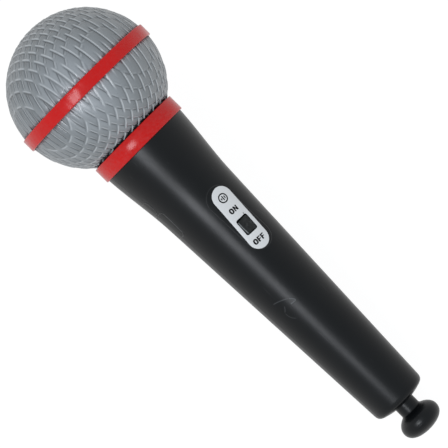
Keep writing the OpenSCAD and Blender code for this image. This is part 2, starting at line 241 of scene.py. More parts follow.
# Heights in mm, and places and widths in pitches
ROW = 0.65
PILLOW = 0.18
BAR = 0.30
BAR_W = 0.13
GROOVE = 0.26
LIP = 0.15
PROUD = 0.10
BAR_HALF = 0.68
BAR_END = 0.12
BAR_SIDE = 0.06
BAR_GROOVE_AT = 0.235
BAR_GROOVE_W = 0.11
ROW_GROOVE_W = 0.1
LIP_AT = 0.17
LIP_W = 0.11
CREASE_AT = 0.35
CREASE_W = 0.1
LIP_SPAN = (-0.85, 0.55)
LIP_END = 0.1
CLEAR_AT = 0.15
CLEAR_W = 0.08
# Relief of the flats, and how much lower it is at their far side and in the grooves; lower relief is painted
# darker, as shade
FLAT_TONE = 0.54
TILT_TONE = 0.1
GROOVE_TONE = 0.5
# Towards the collar the relief ends in teeth, with a lower ring of the ball inside them, painted near black
# as shade
TEETH_R = 22.7
TEETH_LENGTH = 4
TEETH_FADE = 0.25
TEETH_DROP = 0.7
# Middles of the sound holes as (y, z): one, a ring of 6 and a ring of 12
CROWN_HOLES = [
    (ring * math.cos(2 * math.pi * k / n), ring * math.sin(2 * math.pi * k / n))
    for ring, n in ((0.0, 1), (3.2, 6), (9.5, 12)) for k in range(n)
]
CROWN_HOLE_R = 0.7
CROWN_HOLE_DEPTH = 1.6


def peak(d, width):
    """1 where d is 0, falling to 0 at the width."""
    return np.clip(1 - np.abs(d) / width, 0, 1)


def strayed(lay, y, z):
    """How far the rows have bent away from straight ones at y, z, in pitches."""
    y, z = y / BEND_REACH, z / BEND_REACH
    return [p * y * y + q * y * z + r * z * z for p, q, r in lay["bends"]]


def lay_grid(lay, reach):
    """Grid of lattice positions with lines where the relief turns, and where they lie in mm."""
    part_a = (-0.33, -0.24, -BAR_W, -0.08, 0.0, 0.08, BAR_W, 0.33, 0.5)
    part_b = (0.0, 0.2, 0.35, 0.45, ROW - 0.08, ROW, ROW + 0.08, ROW + 0.17, ROW + 0.28)
    n = int(reach / FINEST_PITCH) + 2
    lines = [[k + d for k in range(-n, n + 1) for d in part] for part in (part_a, part_b)]
    a, b = np.meshgrid(*lines, indexing="ij")
    rows = []
    for pitch, angle in (lay["across"], lay["up"]):
        rows.append((math.cos(math.radians(angle)) / pitch, math.sin(math.radians(angle)) / pitch))
    back = np.linalg.inv(np.array(rows))
    y, z = np.zeros_like(a), np.zeros_like(a)
    for _ in range(12):
        bend_a, bend_b = strayed(lay, y, z)
        left_a, left_b = a + lay["start"][0] - bend_a, b + lay["start"][1] - bend_b
        y = np.clip(back[0, 0] * left_a + back[0, 1] * left_b, -60, 60)
        z = np.clip(back[1, 0] * left_a + back[1, 1] * left_b, -60, 60)
    return a, b, y, z


def widening(angle, y, z):
    """How much wider apart lines counted in that direction of the plan are when laid on the ball."""
    c, n = math.cos(math.radians(angle)), math.sin(math.radians(angle))
    far = np.maximum(y**2 + z**2, 1e-6)
    outward = (c * y + n * z) ** 2 / far
    slope = np.maximum(1 - far / BALL_R**2, 0.01)
    return 1 / np.sqrt(1 - outward + outward * slope)


def weave(lay, a, b, y, z):
    """Height of the weave in mm, and its relief, which sets painted shade and highlight: 0.5 on flats, up to
    1 on bars and down to 0 in grooves.
    """
    thin_a, thin_b = widening(lay["across"][1], y, z), widening(lay["up"][1], y, z)
    i = np.round(a)
    j = i % 2 + 2 * np.round((b - i % 2) / 2)
    across, along = (a - i) * thin_a, np.abs(b - j)
    run = np.clip((BAR_HALF - along) / BAR_END, 0, 1) * thin_a**-0.5
    bar = np.clip((BAR_W - np.abs(across)) / BAR_SIDE, 0, 1) * run
    m = np.floor(b - ROW)
    row = b - ROW - m
    from_end = a - m % 2 - 2 * np.round((a - m % 2) / 2)
    clear = np.clip((np.abs(a - i) - CLEAR_AT) / CLEAR_W, 0, 1) * thin_b**-0.8
    near = np.minimum(row, 1 - row) * thin_b
    row_groove = lay["row_groove"] * peak(near, ROW_GROOVE_W) * clear
    bar_groove = lay["bar_groove"] * peak(across + BAR_GROOVE_AT, BAR_GROOVE_W) * run
    crease = lay["crease"] * peak(row * thin_b - CREASE_AT, CREASE_W) * clear
    groove = np.maximum(np.maximum(row_groove, crease), bar_groove) * (1 - bar)
    begun = np.clip((from_end - LIP_SPAN[0]) / LIP_END, 0, 1)
    left = np.clip((LIP_SPAN[1] - from_end) / LIP_END, 0, 1)
    lip = lay["lip"] * peak(row * thin_b - LIP_AT, LIP_W) * (begun * left) * clear * (1 - bar)
    tilt = ((a - m - 1) / 2) % 1
    height = PILLOW * np.sin(np.pi * row) - GROOVE * groove + LIP * lip
    height = height * (1 - bar) + np.maximum(height, BAR) * bar
    # The relief paints shade: darker on the flats' far sides and in the grooves
    relief = FLAT_TONE - TILT_TONE * tilt - GROOVE_TONE * groove
    # and a painted highlight: lighter on the bars and the rows' lips
    relief = relief + (1 - FLAT_TONE) * np.maximum(lay["bar"] * bar, lip)
    return height + PROUD - BAR, np.clip(relief, 0, 1)


def woven_dome(name, node, side, inner_r):
    """Half of the ball, -1 for the front and 1 for the rear. The relief runs from inner_r to the band."""
    outer_r = math.sqrt(BALL_R**2 - (SEAT_X - 0.15) ** 2)
    a, b, y, z = lay_grid(LAYS[side], outer_r)
    rho = np.hypot(y, z)
    kept = rho < outer_r
    if inner_r:
        kept &= rho > inner_r
    cell = kept[:-1, :-1] | kept[1:, :-1] | kept[:-1, 1:] | kept[1:, 1:]
    limit = np.clip(rho, inner_r, outer_r) / np.maximum(rho, 1e-9)
    y, z = y * limit, z * limit
    height, relief = weave(LAYS[side], a, b, y, z)
    if inner_r:
        teeth = TEETH_R + TEETH_LENGTH * np.clip(0.5 - relief, -0.2, 0.5)
        gone = np.clip((teeth - rho * limit) / TEETH_FADE, 0, 1)
        # Inside the teeth the ring is lowered and its relief falls below 0, which the material paints near
        # black as shade
        height, relief = height - TEETH_DROP * gone, relief - gone
    depth = np.zeros_like(y)
    if side < 0:
        for hy, hz in CROWN_HOLES:
            d = np.hypot(y - hy, z - hz)
            near = (np.abs(d - CROWN_HOLE_R) < 0.2) & (d > 1e-6)
            pull = np.where(near, CROWN_HOLE_R / np.maximum(d, 1e-6), 1.0)
            y, z = hy + (y - hy) * pull, hz + (z - hz) * pull
            depth = np.where((d < CROWN_HOLE_R) & ~near, CROWN_HOLE_DEPTH, depth)
    x = side * np.sqrt(np.maximum(BALL_R**2 - y**2 - z**2, 0))
    grow = (BALL_R + height - depth) / BALL_R
    points = np.stack([x * grow, y * grow, z * grow], -1).reshape(-1, 3)
    number = np.arange(a.size).reshape(a.shape)
    ci, cj = np.nonzero(cell)
    corners = [number[ci, cj], number[ci + 1, cj], number[ci + 1, cj + 1], number[ci, cj + 1]]
    quads = np.stack(corners, -1)
    used = np.unique(quads)
    renumber = np.full(a.size, -1)
    renumber[used] = np.arange(len(used))
    quads = renumber[quads]
    points = [tuple(p) for p in points[used]]
    relief = relief.reshape(-1)[used].tolist()
    faces = [tuple(q) for q in quads.tolist()]

    # The points on edges of one quad only make up the rims
    edges = np.sort(np.concatenate([quads[:, [k, (k + 1) % 4]] for k in range(4)]), axis=1)
    unique, count = np.unique(edges, axis=0, return_counts=True)
    rim = np.unique(unique[count == 1])
    rim_points = np.array(points)[rim]
    radius = np.hypot(rim_points[:, 1], rim_points[:, 2])
    halfway = (TEETH_R + outer_r) / 2

    def sorted_rim(pick):
        """The rim points of a mask in order round the axis, and their angles."""
        chosen = rim[pick]
        angle = np.arctan2(rim_points[pick, 2], rim_points[pick, 1]) % (2 * np.pi)
        order = np.argsort(angle)
        return chosen[order].tolist(), angle[order].tolist()

    outer, outer_angle = sorted_rim(radius > halfway)
    lathe = Lathe(points, faces, 128)
    seat = lathe.ring(SEAT_R, side * SEAT_X)
    faces += stitch(outer, seat, outer_angle, lathe.angles)

    def inner_arc(from_deg, to_deg, n):
        """Points (r, x) of the ball's inner face, by their angle from its equator."""
        for k in range(n + 1):
            t = math.radians(from_deg + (to_deg - from_deg) * k / n)
            yield BALL_IN * math.cos(t), side * BALL_IN * math.sin(t)

    if side < 0:
        boss = [math.degrees(math.acos(r / BALL_IN)) for r in BOSS_R]
        last = lathe.run(seat, [
            (SEAT_R, 0.0), (BALL_IN, 0.0), *inner_arc(0, boss[0], 12),
            (BOSS_R[0], BOSS_X), (BOSS_R[1], BOSS_X), *inner_arc(boss[1], 88, 3),
        ])
        lathe.close(last, -BALL_IN)
    else:
        neck = math.degrees(math.acos(NECK_IN / BALL_IN))
        ledge = [math.degrees(math.asin(x / BALL_IN)) for x in (SPIGOT_X[1], *LEDGE_X)]
        last = lathe.run(seat, [
            (SEAT_R, SEAT_GAP), (SPIGOT_R[0], SEAT_GAP), (SPIGOT_R[0], SPIGOT_X[0]),
            (SPIGOT_R[1], SPIGOT_X[0]), (SPIGOT_R[1], SPIGOT_X[1]), *inner_arc(ledge[0], ledge[1], 2),
            (LEDGE_R, LEDGE_X[0]), (LEDGE_R, LEDGE_X[1]), *inner_arc(ledge[2], neck, 12),
            (NECK_IN, NECK_END - NECK_CHAMFER), (NECK_IN + NECK_CHAMFER, NECK_END),
            (LIP_R, NECK_END), (LIP_R, LIP_X), (NECK_R, LIP_X),
        ])
        inner, inner_angle = sorted_rim(radius <= halfway)
        faces += stitch(inner, last, inner_angle, lathe.angles)
    relief += [0.5] * (len(points) - len(relief))
    ob = mesh_object(name, points, faces, angle=0, relief=relief)
    ob.data.materials.append(SLOT_MATERIALS["ball_grey"])
    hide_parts(node)


# ---------------------------------------------------------------- the print on the label
PRINT_SUNK = -0.06
PRINT_TOP = 0.015


def on_label(x, y, lift):
    """A point of the label's plan, laid on its curved face."""
    c, s = math.cos(-LABEL_SKEW), math.sin(-LABEL_SKEW)
    px, py = LABEL_X + x * c - y * s, x * s + y * c
    r = handle_radius(px) + LABEL_LIFT + LABEL_T + lift
    return px, py, math.sqrt(r * r - py * py)


def print_outlines(cx, outlines):
    """Filled outlines given as (across, up) millimetres, with up towards the head."""
    bm = bmesh.new()
    for outline in outlines:
        bm.faces.new([bm.verts.new((cx - v, u, 0)) for u, v in outline])
    # Cut across in strips, so that the outlines can follow the label's curve
    step = 0.5
    for k in range(-12, 13):
        everything = bm.verts[:] + bm.edges[:] + bm.faces[:]
        bmesh.ops.bisect_plane(bm, geom=everything, dist=1e-6, plane_co=(0, k * step, 0), plane_no=(0, 1, 0))
    bmesh.ops.triangulate(bm, faces=bm.faces)
    out = bmesh.ops.extrude_face_region(bm, geom=bm.faces[:])
    for v in out["geom"]:
        if isinstance(v, bmesh.types.BMVert):
            v.co.z = 1
    bm.verts.index_update()
    points = [on_label(v.co.x, v.co.y, PRINT_TOP if v.co.z else PRINT_SUNK) for v in bm.verts]
    faces = [tuple(v.index for v in f.verts) for f in bm.faces]
    bm.free()
    return points, faces


def print_ring(cx, cy, outer, inner):
    """A ring between two ovals given as (across, up) radii. Uneven ones are squarer, as the letter O is."""
    points, faces = [], []
    sides = 48
    for lift in (PRINT_SUNK, PRINT_TOP):
        for ru, rv in (outer, inner):
            power = 0.8 if ru != rv else 1.0
            for k in range(sides):
                t = 2 * math.pi * k / sides
                cu, cv = math.cos(t), math.sin(t)
                u = ru * math.copysign(abs(cu) ** power, cu)
                v = rv * math.copysign(abs(cv) ** power, cv)
                points.append(on_label(cx - v, cy + u, lift))
    low_out, low_in, top_out, top_in = (q * sides for q in range(4))
    for a, b in ((top_out, top_in), (low_out, low_in), (low_out, top_out), (low_in, top_in)):
        for k in range(sides):
            n = (k + 1) % sides
            faces.append((a + k, a + n, b + n, b + k))
    return points, faces


def box_outline(u0, u1, v0, v1):
    """An upright rectangle's outline, for print_outlines."""
    return [(u0, v0), (u1, v0), (u1, v1), (u0, v1)]


# Places of the print along the axis, and the letters' sizes
ON_X = 83.4
OFF_X = 100.3
MARK_X = 76.55
LETTER_H = 2.5
LETTER_W = 2.05
STROKE = 0.8
THIN_STROKE = 0.62
O_WIDER = 0.1
O_TALLER = 0.05
O_STROKE_ENDS = 0.56


def letter(kind, u):
    """Outline of a block letter whose left edge is at u and whose middle is at height 0."""
    h, w = LETTER_H / 2, LETTER_W
    if kind == "N":
        s, slant = THIN_STROKE, 1.25
        return [[
            (u, -h), (u + s, -h), (u + s, h - slant), (u + w - s, -h), (u + w, -h),
            (u + w, h), (u + w - s, h), (u + w - s, -h + slant), (u + s, h), (u, h),
        ]]
    s, arm, low, high, top = STROKE, w * 0.8, -0.28, 0.2, h - 0.54
    return [[
        (u, -h), (u + s, -h), (u + s, low), (u + arm, low), (u + arm, high), (u + s, high),
        (u + s, top), (u + w * 0.88, top), (u + w * 0.88, h), (u, h),
    ]]


def label_print():
    """ON and OFF either side of the window, and three bars in a ring."""
    on, off, mark = ON_X - LABEL_X, OFF_X - LABEL_X, MARK_X - LABEL_X
    oval = (
        (LETTER_W / 2 + O_WIDER, LETTER_H / 2 + O_TALLER),
        (LETTER_W / 2 - STROKE + O_WIDER, LETTER_H / 2 - O_STROKE_ENDS),
    )
    bars = [
        box_outline(-1.54, -1.0, -0.5, 0.5),
        box_outline(-0.6, -0.06, -1.15, 1.15),
        box_outline(0.34, 0.88, -0.7, 0.7),
    ]
    parts = [
        print_ring(on, -1.42, *oval),
        print_outlines(on, letter("N", -0.02)),
        print_ring(off, -2.26, *oval),
        print_outlines(off, letter("F", -0.96)),
        print_outlines(off, letter("F", 1.1)),
        print_ring(mark, -0.33, (2.3, 2.3), (1.72, 1.72)),
        print_outlines(mark, bars),
    ]
    points, faces = [], []
    for p, f in parts:
        base = len(points)
        points += p
        faces += [tuple(base + k for k in face) for face in f]
    return mesh_object("label_print", points, faces, angle=30)


# ---------------------------------------------------------------- materials
class Shader:
    """A Principled material built node by node."""

    def __init__(self, name, **uniform):
        self.mat = bpy.data.materials.new(name)
        self.mat.use_nodes = True
        self.tree = self.mat.node_tree
        self.tree.nodes.clear()
        out = self.node("ShaderNodeOutputMaterial")
        self.bsdf = self.node("ShaderNodeBsdfPrincipled")
        self.join(self.bsdf.outputs["BSDF"], out.inputs["Surface"])
        for key, value in uniform.items():
            self.bsdf.inputs[key.replace("_", " ")].default_value = value
        spot = self.node("ShaderNodeTexCoord").outputs["Object"]
        local = self.node("ShaderNodeMapping")
        turn = Matrix.Rotation(-LIE, 3, "Y")
        local.inputs["Scale"].default_value = (1 / MM,) * 3
        local.inputs["Rotation"].default_value = (0, -LIE, 0)
        local.inputs["Location"].default_value = -(turn @ SHIFT)
        self.join(spot, local.inputs["Vector"])
        self.mm = local.outputs["Vector"]

    def node(self, kind, **settings):
        n = self.tree.nodes.new(kind)
        for key, value in settings.items():
            setattr(n, key, value)
        return n

    def join(self, a, b):
        self.tree.links.new(a, b)

    def put(self, value, socket):
        if isinstance(value, bpy.types.NodeSocket):
            self.join(value, socket)
        else:
            socket.default_value = value

    def math(self, op, a, b=0.0):
        n = self.node("ShaderNodeMath", operation=op)
        self.put(a, n.inputs[0])
        self.put(b, n.inputs[1])
        return n.outputs[0]

    def noise(self, scale, detail=3.0, rough=0.5, stretch=None, seed=0.0):
        """Noise of that many waves to the millimetre, about 0.5 on average."""
        n = self.node("ShaderNodeTexNoise", noise_dimensions="4D")
        n.inputs["Scale"].default_value = scale
        n.inputs["Detail"].default_value = detail
        n.inputs["Roughness"].default_value = rough
        n.inputs["W"].default_value = seed
        at = self.mm
        if stretch:
            m = self.node("ShaderNodeMapping")
            m.inputs["Scale"].default_value = stretch
            self.join(self.mm, m.inputs["Vector"])
            at = m.outputs["Vector"]
        self.join(at, n.inputs["Vector"])
        return n.outputs["Fac"]

    def remap(self, value, a0, a1, b0, b1):
        n = self.node("ShaderNodeMapRange", clamp=True)
        for socket, v in zip(n.inputs, (value, a0, a1, b0, b1)):
            self.put(v, socket)
        return n.outputs[0]

    def mix(self, fac, a, b):
        n = self.node("ShaderNodeMix", data_type="RGBA")
        self.put(fac, n.inputs[0])
        for value, socket in ((a, n.inputs[6]), (b, n.inputs[7])):
            self.put(value if isinstance(value, bpy.types.NodeSocket) else (*value, 1), socket)
        return n.outputs[2]

    def bump(self, *layers):
        """Bump from (height, distance in mm, strength) layers, the first at the bottom."""
        normal = None
        for height, distance, strength in layers:
            n = self.node("ShaderNodeBump")
            n.inputs["Strength"].default_value = strength
            n.inputs["Distance"].default_value = distance * MM
            self.join(height, n.inputs["Height"])
            if normal is not None:
                self.join(normal, n.inputs["Normal"])
            normal = n.outputs["Normal"]
        self.join(normal, self.bsdf.inputs["Normal"])

    def colour(self, value):
        self.base = value
        self.put(value, self.bsdf.inputs["Base Color"])

    def rough(self, value):
        self.put(value, self.bsdf.inputs["Roughness"])

    def far_from(self, centre, roll, reach):
        """Distance from a point in millimetres, 1 at the ellipsoid of that reach rolled about the axis."""
        m = self.node("ShaderNodeMapping", vector_type="TEXTURE")
        for name, value in (("Location", centre), ("Rotation", (roll, 0, 0)), ("Scale", reach)):
            m.inputs[name].default_value = value
        self.join(self.mm, m.inputs["Vector"])
        n = self.node("ShaderNodeVectorMath", operation="LENGTH")
        self.join(m.outputs["Vector"], n.inputs[0])
        return n.outputs["Value"]

    def worn_edge(self):
        """1 on sharp outer edges, broken up by noise."""
        point = self.node("ShaderNodeNewGeometry").outputs["Pointiness"]
        edge = self.remap(point, 0.52, 0.6, 0, 1)
        return self.math("MULTIPLY", edge, self.remap(self.noise(0.8, seed=7.0), 0.4, 0.65, 0, 1))


def times(colour, k):
    """A colour made k times as light."""
    return tuple(c * k for c in colour)


def moulded(name, colour, rough, spread=0.08, grain=6.0, grain_depth=0.02, **uniform):
    """Moulded plastic: slight blotches, uneven gloss, a fine grain and lighter worn edges."""
    s = Shader(name, **uniform)
    blotch = s.remap(s.noise(0.06, 4.0, 0.6), 0.3, 0.7, 0, 1)
    base = s.mix(blotch, times(colour, 1 - spread), times(colour, 1 + spread))
    base = s.mix(s.math("MULTIPLY", s.worn_edge(), 0.35), base, [0.5 * c + 0.12 for c in colour])
    s.colour(base)
    fine = s.noise(grain, 2.0, 0.6, seed=2.0)
    smear = s.noise(0.25, 5.0, 0.65, stretch=(0.35, 1, 1), seed=4.0)
    s.rough(s.remap(smear, 0.3, 0.75, rough - 0.06, rough + 0.08))
    s.bump((fine, grain_depth, 0.5))
    return s


def ball_grey():
    """The ball's plastic: painted shade in the grooves, on the flats' far sides and in the ring inside the
    teeth, and painted highlights on the bars and lips and in a broad patch where the key light reflects.
    """
    s = Shader("ball_grey", IOR=1.5, Specular_IOR_Level=1.0)
    relief = s.node("ShaderNodeAttribute", attribute_name="relief").outputs["Fac"]
    tone = s.remap(s.noise(0.07, 4.0, 0.6), 0.3, 0.7, 0, 1)
    base = s.mix(tone, (0.203, 0.223, 0.236), (0.235, 0.256, 0.269))
    # Painted highlight: a broad lighter patch where the key light's reflection falls on the ball
    highlight_patch = s.remap(s.far_from((1.0, -15.6, 32.1), math.radians(26), (27, 19, 19)), 0.25, 1.15, 0.85, 0)
    base = s.mix(highlight_patch, base, (0.345, 0.37, 0.395))
    speck = s.remap(s.noise(2.2, 3.0, 0.7, seed=3.0), 0.42, 0.7, 0, 0.12)
    base = s.mix(speck, base, (0.21, 0.228, 0.24))
    # Painted shade: darker where the relief is low, in the grooves and on the flats' far sides
    base = s.mix(s.remap(relief, 0.0, 0.5, 0.9, 0), base, (0.04, 0.043, 0.046))
    # Painted highlight on the bars and the rows' lips, made uneven by noise
    uneven_highlight = s.remap(s.noise(0.35, 3.0, 0.6, seed=9.0), 0.35, 0.65, 0.75, 1)
    base = s.mix(s.math("MULTIPLY", s.remap(relief, 0.46, 1.0, 0, 1), uneven_highlight), base, (0.60, 0.63, 0.65))
    # Painted shade, near black, on the lowered ring inside the teeth under the collar's edge
    base = s.mix(s.remap(relief, -1.0, 0.0, 0.95, 0), base, (0.008, 0.008, 0.009))
    s.colour(base)
    s.rough(s.remap(s.noise(0.5, 4.0, 0.6, seed=5.0), 0.3, 0.7, 0.26, 0.36))
    s.bump((s.noise(0.9, 3.0, 0.6, seed=6.0), 0.12, 0.5), (s.noise(5.0, 2.0, 0.6, seed=8.0), 0.02, 0.4))
    return s.mat


def red_plastic():
    colour = (0.64, 0.0065, 0.0055)
    coat = {"IOR": 1.45, "Specular_IOR_Level": 0.4}
    return moulded("red_plastic", colour, 0.21, spread=0.05, grain=4.0, grain_depth=0.015, **coat).mat


def label_film():
    """Silver film with a fine, even sparkle."""
    s = Shader("label_film", Metallic=0.1)
    grain = s.noise(7.0, 2.0, 0.7, seed=1.0)
    base = s.mix(s.remap(grain, 0.3, 0.7, 0, 1), (0.70, 0.71, 0.715), (0.89, 0.893, 0.893))
    tone = s.remap(s.noise(0.12, 3.0, 0.5), 0.35, 0.65, 0, 0.35)
    s.colour(s.mix(tone, base, (0.80, 0.81, 0.815)))
    s.rough(s.remap(s.noise(1.5, 4.0, 0.6, seed=2.0), 0.3, 0.7, 0.42, 0.58))
    s.bump((grain, 0.02, 0.6))
    return s.mat


def plate_distance(s, at, centre, turn, length, width, radius):
    """Distance in mm from a rounded rectangle in the x and y of "at"; negative inside it."""
    m = s.node("ShaderNodeMapping", vector_type="TEXTURE")
    m.inputs["Location"].default_value = (*centre, 0)
    m.inputs["Rotation"].default_value = (0, 0, turn)
    s.join(at, m.inputs["Vector"])
    part = s.node("ShaderNodeSeparateXYZ")
    s.join(m.outputs["Vector"], part.inputs["Vector"])
    past = []
    for axis, size in (("X", length), ("Y", width)):
        straight = size / 2 - radius
        over = s.math("SUBTRACT", s.math("ABSOLUTE", part.outputs[axis]), straight)
        past.append(s.math("MAXIMUM", over, 0))
    far = s.math("SQRT", s.math("ADD", s.math("POWER", past[0], 2), s.math("POWER", past[1], 2)))
    return s.math("SUBTRACT", far, radius)


def scratch_line(s, flat, start, end, bow, width):
    """1 on a fine bowed line between two points (x along, arc length round), fading at its ends."""
    m = s.node("ShaderNodeMapping", vector_type="TEXTURE")
    dx, dy = end[0] - start[0], end[1] - start[1]
    half = math.hypot(dx, dy) / 2
    m.inputs["Location"].default_value = ((start[0] + end[0]) / 2, (start[1] + end[1]) / 2, 0)
    m.inputs["Rotation"].default_value = (0, 0, math.atan2(dy, dx))
    s.join(flat, m.inputs["Vector"])
    part = s.node("ShaderNodeSeparateXYZ")
    s.join(m.outputs["Vector"], part.inputs["Vector"])
    share = s.math("DIVIDE", part.outputs["X"], half)
    arch = s.math("MULTIPLY", s.math("SUBTRACT", 1, s.math("POWER", share, 2)), bow)
    off = s.math("ABSOLUTE", s.math("SUBTRACT", part.outputs["Y"], arch))
    line = s.remap(off, width * 0.3, width, 1, 0)
    ends = s.remap(s.math("ABSOLUTE", share), 0.75, 1.0, 1, 0)
    return s.math("MULTIPLY", line, ends)


def unrolled(s):
    """(x along the axis, arc length from the label round towards +Y, 0) in millimetres."""
    part = s.node("ShaderNodeSeparateXYZ")
    s.join(s.mm, part.inputs["Vector"])
    turn = s.math("ARCTAN2", part.outputs["Y"], part.outputs["Z"])
    narrower = s.math("MULTIPLY", s.math("SUBTRACT", part.outputs["X"], HANDLE_X0), TAPER)
    radius = s.math("SUBTRACT", HANDLE_R, narrower)
    n = s.node("ShaderNodeCombineXYZ")
    s.join(part.outputs["X"], n.inputs["X"])
    s.join(s.math("MULTIPLY", turn, radius), n.inputs["Y"])
    return n.outputs["Vector"]


# Each scratch on the handle: its two ends as (x along, arc length round), bow, width and depth
SCRATCHES = [
    ((125.2, -17.7), (128.1, -9.7), 0.5, 0.30, 0.5),
    ((127.9, -9.9), (130.6, -7.9), 0.2, 0.36, 1.0),
    ((130.5, -7.8), (130.3, -11.2), 0.1, 0.36, 0.9),
    ((129.0, -13.8), (131.4, -16.0), 0.2, 0.24, 0.5),
    ((131.4, -16.0), (136.7, -13.4), -0.9, 0.24, 0.35),
    ((90.0, 9.0), (96.5, 11.5), 0.5, 0.12, 0.4),
]
# The two panel outlines low on the handle's side: middle, length, width and corner
PANELS = [
    ((69.0, -29.8), 14.0, 8.0, 1.6),
    ((57.4, -32.2), 7.0, 8.0, 1.6),
]


def black_plastic():
    """The handle: scratches, a fine rim round the label and two faint panel outlines, both bumped, with a
    painted highlight along each.
    """
    colour = (0.0042, 0.0050, 0.0058)
    s = Shader("black_plastic", IOR=1.45, Specular_IOR_Level=0.4)
    blotch = s.remap(s.noise(0.05, 4.0, 0.6), 0.3, 0.7, 0, 1)
    base = s.mix(blotch, times(colour, 0.88), times(colour, 1.14))
    base = s.mix(s.math("MULTIPLY", s.worn_edge(), 0.15), base, (0.03, 0.03, 0.033))
    flat = unrolled(s)
    total = 0.0
    for start, end, bow, width, depth in SCRATCHES:
        line = s.math("MULTIPLY", scratch_line(s, flat, start, end, bow, width), depth)
        total = s.math("MAXIMUM", total, line)
    fine = s.noise(0.6, 2.0, 0.4, stretch=(0.05, 2.2, 2.2), seed=9.0)
    hair = s.remap(fine, 0.70, 0.76, 0, 0.15)
    mark = s.math("MAXIMUM", total, hair)
    base = s.mix(s.math("MULTIPLY", mark, 0.6), base, (0.15, 0.157, 0.165))
    rim_l, rim_w = LABEL_L + 2.0, LABEL_W + 2.4
    recess = plate_distance(s, s.mm, (LABEL_X - 0.4, -0.2), LABEL_SKEW, rim_l, rim_w, rim_w / 2)
    edge = s.remap(recess, -0.15, 0.15, 1, 0)
    panels = [plate_distance(s, flat, middle, 0.0, *sizes) for middle, *sizes in PANELS]
    lip = s.remap(s.math("ABSOLUTE", s.math("MINIMUM", *panels)), 0.0, 0.35, 1, 0)
    # Painted highlight: lighter lines along the edge of the label's recess and along the two panel outlines
    rim = s.math("MULTIPLY", s.remap(s.math("ABSOLUTE", recess), 0.0, 0.3, 1, 0), 0.35)
    s.colour(s.mix(s.math("MAXIMUM", s.math("MULTIPLY", lip, 0.7), rim), base, (0.055, 0.057, 0.058)))
    smear = s.noise(0.16, 5.0, 0.65, stretch=(0.4, 1, 1), seed=4.0)
    s.rough(s.math("ADD", s.remap(smear, 0.3, 0.75, 0.29, 0.37), s.math("MULTIPLY", mark, 0.12)))
    s.bump((edge, 0.22, 0.9), (lip, 0.3, 1.0), (s.noise(4.0, 2.0, 0.6, seed=2.0), 0.015, 0.4),
           (total, 0.04, 0.5))
    return s.mat


def cap_black():
    """The rocker's plastic, with a painted highlight along the cap's edge on the -Y side."""
    s = moulded("switch_black", (0.006, 0.0078, 0.0072), 0.36, grain=5.0, IOR=1.46)
    edge = plate_distance(s, s.mm, (SWITCH_X, -2.62), LABEL_SKEW, 6.4, 0.16, 0.08)
    uneven = s.remap(s.noise(0.9, seed=3.0), 0.3, 0.6, 0.5, 1)
    # Painted highlight: a thin lighter strip along the cap's -Y edge, where the key light catches it
    uneven_highlight = s.math("MULTIPLY", s.remap(edge, 0.0, 0.2, 1, 0), uneven)
    s.colour(s.mix(uneven_highlight, s.base, (0.30, 0.32, 0.32)))
    return s.mat


def dull_metal(name, colour, rough, stretch=(0.3, 3, 3)):
    """Bare metal with a drawn grain."""
    s = Shader(name, Metallic=1.0)
    grain = s.noise(2.0, 4.0, 0.65, stretch=stretch, seed=3.0)
    s.colour(s.mix(s.remap(grain, 0.3, 0.7, 0, 1), times(colour, 0.82), times(colour, 1.08)))
    s.rough(s.remap(s.noise(0.8, 4.0, 0.6, seed=5.0), 0.3, 0.7, rough - 0.08, rough + 0.12))
    s.bump((grain, 0.02, 0.4))
    return s.mat


def board_green():
    """Green lacquer, raised and lighter over the tracks."""
    s = Shader("green_board")
    bands = s.node("ShaderNodeTexWave", wave_type="BANDS", bands_direction="Y")
    bands.inputs["Scale"].default_value = 0.9
    bands.inputs["Distortion"].default_value = 2.0
    s.join(s.mm, bands.inputs["Vector"])
    track = s.remap(bands.outputs["Fac"], 0.72, 0.8, 0, 1)
    base = s.mix(track, (0.035, 0.13, 0.045), (0.06, 0.21, 0.07))
    s.colour(s.mix(s.remap(s.noise(0.5), 0.3, 0.7, 0, 0.3), base, (0.03, 0.10, 0.04)))
    s.rough(s.remap(s.noise(1.2, seed=2.0), 0.3, 0.7, 0.32, 0.45))
    s.bump((track, 0.04, 0.6))
    return s.mat


def soft(name, colour, rough, grain, depth):
    """Foam, rubber and wire cover: matt, with an open grain."""
    s = Shader(name)
    fine = s.noise(grain, 4.0, 0.7, seed=2.0)
    s.colour(s.mix(s.remap(fine, 0.3, 0.7, 0, 1), times(colour, 0.8), times(colour, 1.2)))
    s.rough(s.remap(s.noise(0.7, seed=4.0), 0.3, 0.7, rough - 0.05, rough + 0.08))
    s.bump((fine, depth, 0.7))
    return s.mat


def cell_wrap():
    """Blue round the cells' middle and silver at both ends."""
    middle_x, blue_half, blend = 82.4, 15.5, 0.4
    s = Shader("cell_wrap", Metallic=0.4)
    part = s.node("ShaderNodeSeparateXYZ")
    s.join(s.mm, part.inputs["Vector"])
    off = s.math("ABSOLUTE", s.math("SUBTRACT", part.outputs["X"], middle_x))
    ends = s.remap(off, blue_half, blue_half + blend, 0, 1)
    base = s.mix(ends, (0.06, 0.19, 0.40), (0.55, 0.56, 0.57))
    s.colour(s.mix(s.remap(s.noise(0.3, 4.0), 0.3, 0.7, 0, 0.25), base, (0.05, 0.08, 0.12)))
    s.rough(s.remap(s.noise(1.0, seed=3.0), 0.3, 0.7, 0.28, 0.42))
    s.bump((s.noise(1.5, seed=5.0), 0.03, 0.4))
    return s.mat


def ink():
    """The label's matt black print."""
    s = Shader("print_ink", Specular_IOR_Level=0.2)
    s.colour(s.mix(s.remap(s.noise(5.0, 3.0), 0.35, 0.7, 0, 1), (0.003, 0.003, 0.003), (0.008, 0.008, 0.009)))
    s.rough(s.remap(s.noise(3.0, seed=2.0), 0.3, 0.7, 0.4, 0.6))
    s.bump((s.noise(8.0), 0.01, 0.4))
    return s.mat


